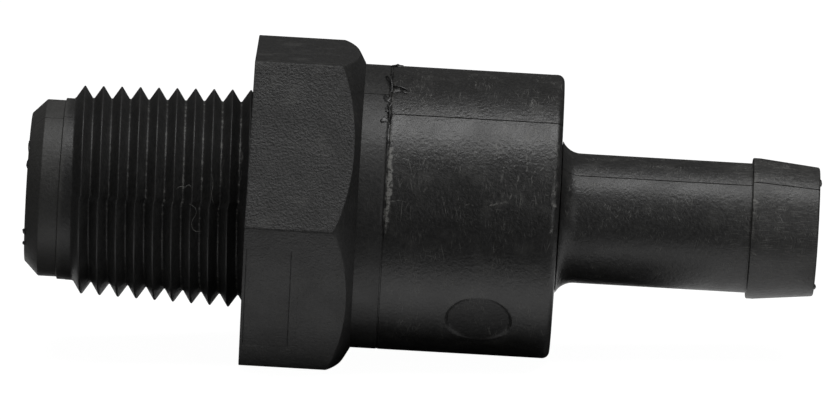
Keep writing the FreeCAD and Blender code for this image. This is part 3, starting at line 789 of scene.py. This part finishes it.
# %% Single marks
# Each is (along, angle) to (along, angle), its width, and how strongly it shows
BARREL_STROKES = [
    ((20.3, -28.5), (20.9, -33), 0.35, 0.35), ((22.4, -22), (22.5, -26), 0.15, 0.4),
    ((24.6, 46.5), (25.0, 43), 0.25, 0.6), ((25.3, 47.5), (25.4, 38), 0.12, 0.5),
    ((24.0, 40), (23.8, 30), 0.1, 0.45), ((17.9, 34), (18.2, 28), 0.12, 0.4),
    ((27.6, 38), (27.2, 30), 0.1, 0.45), ((20.2, 20), (20.5, 14), 0.1, 0.35),
    ((26.9, 47), (27.1, 42), 0.3, 0.35), ((28.6, 44), (28.9, 41), 0.2, 0.4),
    ((13.75, 33), (13.75, 15), 0.36, 1.5), ((13.68, 15), (13.7, 4), 0.32, 1.1),
    ((13.64, 4), (13.66, -1), 0.2, 0.6), ((13.6, 44), (13.62, 37), 0.14, 0.7),
    ((13.58, 60), (13.7, 54), 0.12, 0.5), ((13.9, 12), (15.4, 12), 0.09, 0.5),
    ((16.0, 43), (15.8, 39), 0.16, 0.5), ((26.6, 65), (26.65, 56), 0.08, 0.35),
    ((26.0, 45), (26.15, 46), 0.12, 0.7), ((27.9, 42), (28.2, 40), 0.1, 0.8),
    ((22.3, 40), (21.9, 32), 0.12, 0.4), ((24.1, 40), (24.05, 33), 0.11, 0.55),
    ((24.3, 36), (24.3, 32), 0.09, 0.4), ((27.0, 34), (27.0, 27), 0.1, 0.4),
    ((25.8, 29), (26.0, 30), 0.1, 0.5), ((28.6, 29), (28.1, 26), 0.1, 0.45),
    ((18.5, 26), (18.5, 23), 0.1, 0.7), ((17.2, 17), (17.5, 18), 0.12, 0.5),
    ((26.2, 25), (26.2, 22), 0.11, 0.7), ((27.8, 27), (27.6, 24), 0.1, 0.6),
    ((27.6, 24), (27.7, 21), 0.1, 0.5), ((23.0, 19), (22.8, 17), 0.09, 0.4),
    ((23.5, 12.3), (24.4, 13), 0.1, 0.7), ((24.3, 13.2), (25.4, 14), 0.15, 0.5),
    ((21.3, 12), (21.9, 12), 0.09, 0.5), ((29.82, 41), (29.82, 20), 0.12, 0.35),
    ((29.8, 20), (29.8, 18.5), 0.3, 0.9), ((29.8, 14.5), (29.8, 13.5), 0.3, 1.0),
    ((29.75, 13), (29.75, 3), 0.14, 0.35), ((29.7, 4), (29.7, 3), 0.24, 0.7),
    ((49.55, 61), (49.55, 21), 0.3, 0.45), ((49.5, 19), (49.5, 1), 0.18, 0.4),
    ((49.6, 33), (49.9, 31), 0.3, 0.9), ((50.6, 37), (52.6, 36), 0.12, 0.5),
    ((51.8, 35), (53.8, 34), 0.14, 0.4), ((49.6, -11), (49.9, -12), 0.3, 0.7),
]
BASE_STROKES = [
    ((-0.75, 39), (-0.8, 19), 0.12, 0.5), ((-2.6, 31), (-2.65, 17), 0.1, 0.35),
]
hexagon_nylon = moulded_nylon("black_nylon_textured", 0.54, 1.0, 0.75)
base_nylon = moulded_nylon(
    "black_nylon_base", 0.50, 0.35, 0.3, BARREL_HAIRLINES[:2], BASE_STROKES, 0.15, thread=True)
housing_nylon = moulded_nylon(
    "black_nylon_housing", 0.38, 0.8, 0.36, BARREL_HAIRLINES, BARREL_STROKES, hose=True)


def give_finish(piece, material, chosen=lambda face: True):
    """Adds a finish to the piece and gives it to the faces that the test picks."""
    piece.data.materials.append(material)
    for face in piece.data.polygons:
        if chosen(face):
            face.material_index = len(piece.data.materials) - 1


def on_a_flat(face):
    """True on the six flats of the hexagon and on the face that meets the thread."""
    x, y, z = face.center / MM
    return 0.0 <= x < HEX_BACK and math.hypot(y, z) > 12.5 and abs(face.normal.x) < 0.5 or abs(x) < 0.01


give_finish(inlet_base, base_nylon)
give_finish(inlet_base, hexagon_nylon, on_a_flat)
give_finish(outlet_housing, housing_nylon)
for piece in flash_pieces:
    give_finish(piece, housing_nylon)
frayed_nylon, _, frayed_shader = new_material("frayed_nylon")
frayed_shader.inputs["Base Color"].default_value = (0.11, 0.109, 0.103, 1.0)
frayed_shader.inputs["Roughness"].default_value = 0.6
for piece in fibres:
    give_finish(piece, frayed_nylon)
print("nylon finishes:", [m.name for m in (base_nylon, hexagon_nylon, housing_nylon)])

# %% Steel and pintle finishes
def turned_metal(name, colour, roughness):
    """Steel with fine marks and small changes of tone."""
    material, n, shader = new_material(name)
    where = n.add("ShaderNodeTexCoord", output=3)
    marks = n.noise(where, 1500.0, 4.0, 0.65)
    darker = tuple(c * 0.7 for c in colour) + (1.0,)
    tone = n.mix(n.range(marks, 0.35, 0.7), darker, (*colour, 1.0))
    n.tree.links.new(tone, shader.inputs["Base Color"])
    n.tree.links.new(n.range(marks, 0.3, 0.7, roughness - 0.06, roughness + 0.1), shader.inputs["Roughness"])
    shader.inputs["Metallic"].default_value = 1.0
    return material


def natural_acetal():
    """Smooth cream plastic with a faint bloom."""
    material, n, shader = new_material("pintle_plastic")
    where = n.add("ShaderNodeTexCoord", output=3)
    bloom = n.noise(where, 300.0, 3.0, 0.5)
    tone = n.mix(bloom, (0.62, 0.59, 0.52, 1), (0.74, 0.72, 0.66, 1))
    n.tree.links.new(tone, shader.inputs["Base Color"])
    n.tree.links.new(n.range(bloom, 0.3, 0.7, 0.3, 0.42), shader.inputs["Roughness"])
    shader.inputs["Subsurface Weight"].default_value = 0.1
    shader.inputs["Subsurface Scale"].default_value = 0.5 * MM
    return material


metering_washer.data.materials.append(turned_metal("plated_steel", (0.62, 0.6, 0.55), 0.34))
return_spring.data.materials.append(turned_metal("spring_steel", (0.5, 0.5, 0.5), 0.3))
pintle.data.materials.append(natural_acetal())

# %% [markdown]
# ## Floor, light and camera
# The valve lies on a flat of its hexagon and tips onto the barrel's edge, so in its own frame the floor
# leans by about 3 degrees. The floor lifts to full white where the camera sees it, while the shadow stays.
# In reflections the valve sees a painted glow instead: a card-shaped patch of the floor that glows for glossy
# rays only, with a painted shadow across it. One broad soft lamp hangs overhead, a faint card stands at the
# right, and the room is dim, a little brighter above than at the horizon.

# %% Floor
flat_share = ((HEX_CORNER - HEX_APOTHEM) / (HEX_CORNER - BARREL_RADIUS)) ** (1 / CONE_BULGE)
REST_FRONT = Vector((CONE_START + (HEX_BACK - CONE_START) * flat_share, 0.0, -HEX_APOTHEM)) * MM
REST_BACK = Vector((BARREL_END - 0.4, 0.0, -BARREL_RADIUS)) * MM
floor_lean = math.atan2(REST_BACK.z - REST_FRONT.z, REST_BACK.x - REST_FRONT.x)
bpy.ops.mesh.primitive_plane_add(size=8.0)
floor = bpy.context.object
floor.name = "floor"
floor.matrix_world = Matrix.Translation(REST_FRONT) @ Matrix.Rotation(-floor_lean, 4, "Y")
print("the floor leans", round(math.degrees(floor_lean), 2), "degrees")


WHITE_LIFT = 0.98    # what the camera sees above the lit floor, so that it shows white
CARD_EDGE, CARD_INSIDE = 0.038, 0.012   # the painted glow fades out between these distances in front of the axis
SHADE_INSIDE, SHADE_EDGE = 0.0075, 0.018  # and a painted shadow of the barrel dims that glow between these
CARD_GLOW = 1.25


def white_floor():
    material, n, shader = new_material("white_floor")
    shader.inputs["Base Color"].default_value = (0.14, 0.14, 0.14, 1.0)
    shader.inputs["Roughness"].default_value = 0.9
    shader.inputs["Specular IOR Level"].default_value = 0.0
    shader.inputs["Emission Color"].default_value = (1.0, 1.0, 1.0, 1.0)
    path = n.tree.nodes.new("ShaderNodeLightPath")
    seen = n.sum(path.outputs["Is Camera Ray"], path.outputs["Is Transmission Ray"], clamp=True)
    # The painted reflection, a glow that only glossy rays see, ends a little way in front of the valve, which
    # reflects the dim room beyond it
    along, across, up = n.axes(n.add("ShaderNodeTexCoord", output=3))
    distance = n.sum(across, 0.0, "ABSOLUTE")
    # A painted shadow: the glow is dimmed near the axis under the valve, and less under the nozzle
    painted_shadow_lift_under_nozzle = n.times(n.range(along, 0.030, 0.036, 0.0, 0.7), n.range(along, 0.051, 0.047, 0.2, 1.0))
    painted_shadow = n.sum(n.range(distance, SHADE_INSIDE, SHADE_EDGE), painted_shadow_lift_under_nozzle, "MAXIMUM")
    ends = n.times(n.range(along, -0.08, -0.04), n.range(along, 0.09, 0.06))
    painted_glow_card = n.times(n.range(distance, CARD_EDGE, CARD_INSIDE), painted_shadow, ends)
    # The floor glows for glossy rays only: a painted reflection on the valve
    painted_reflection = n.times(path.outputs["Is Glossy Ray"], painted_glow_card, CARD_GLOW)
    lift = n.sum(n.times(seen, WHITE_LIFT), painted_reflection)
    n.tree.links.new(lift, shader.inputs["Emission Strength"])
    return material


floor.data.materials.append(white_floor())

# %% Light
HORIZON = (0.06, 0.06, 0.06, 1.0)
UPPER_WALL = (0.10, 0.099, 0.097, 1.0)


def room_light():
    world = bpy.data.worlds.new("studio")
    scene.world = world
    world.use_nodes = True
    tree = world.node_tree
    n = Nodes(tree)
    path = tree.nodes.new("ShaderNodeLightPath")
    seen = n.sum(path.outputs["Is Camera Ray"], path.outputs["Is Transmission Ray"], "ADD", clamp=True)
    height = n.axes(n.add("ShaderNodeTexCoord", output=0))[2]
    room = n.mix(n.range(height, 0.05, 0.6), HORIZON, UPPER_WALL)
    tree.links.new(n.mix(seen, room, (1.0, 1.0, 1.0, 1.0)), tree.nodes["Background"].inputs["Color"])


def soft_lamp(name, place, aim, size, power):
    light = bpy.data.lights.new(name, "AREA")
    light.shape = "RECTANGLE"
    light.size, light.size_y = size
    light.energy = power
    lamp = bpy.data.objects.new(name, light)
    scene.collection.objects.link(lamp)
    lamp.location = place
    lamp.rotation_euler = (Vector(aim) - Vector(place)).to_track_quat("-Z", "Y").to_euler()
    return lamp


room_light()
VALVE_MIDDLE = (0.017, 0.0, 0.0)
soft_lamp("overhead_softbox", (0.06, -0.148, 0.75), VALVE_MIDDLE, (0.75, 0.28), 3.95)
soft_lamp("right_hand_card", (0.22, -0.42, 0.13), VALVE_MIDDLE, (0.05, 0.35), 0.25)

# %% Camera
CAMERA_RISE = math.radians(9.4)
CAMERA_ROLL = math.radians(3.31)
CAMERA_DISTANCE = 1.03
AIM = Vector((16.9, 0.0, -0.11)) * MM

lens = bpy.data.cameras.new("photo_view")
lens.lens = 448.0
lens.sensor_width = 36.0
camera = bpy.data.objects.new("photo_view", lens)
scene.collection.objects.link(camera)
camera.location = AIM + CAMERA_DISTANCE * Vector((0.0, -math.cos(CAMERA_RISE), math.sin(CAMERA_RISE)))
look = (AIM - camera.location).to_track_quat("-Z", "Y")
camera.rotation_euler = (look.to_matrix() @ Matrix.Rotation(CAMERA_ROLL, 3, "Z")).to_euler()
scene.camera = camera
scene.view_settings.view_transform = "Standard"
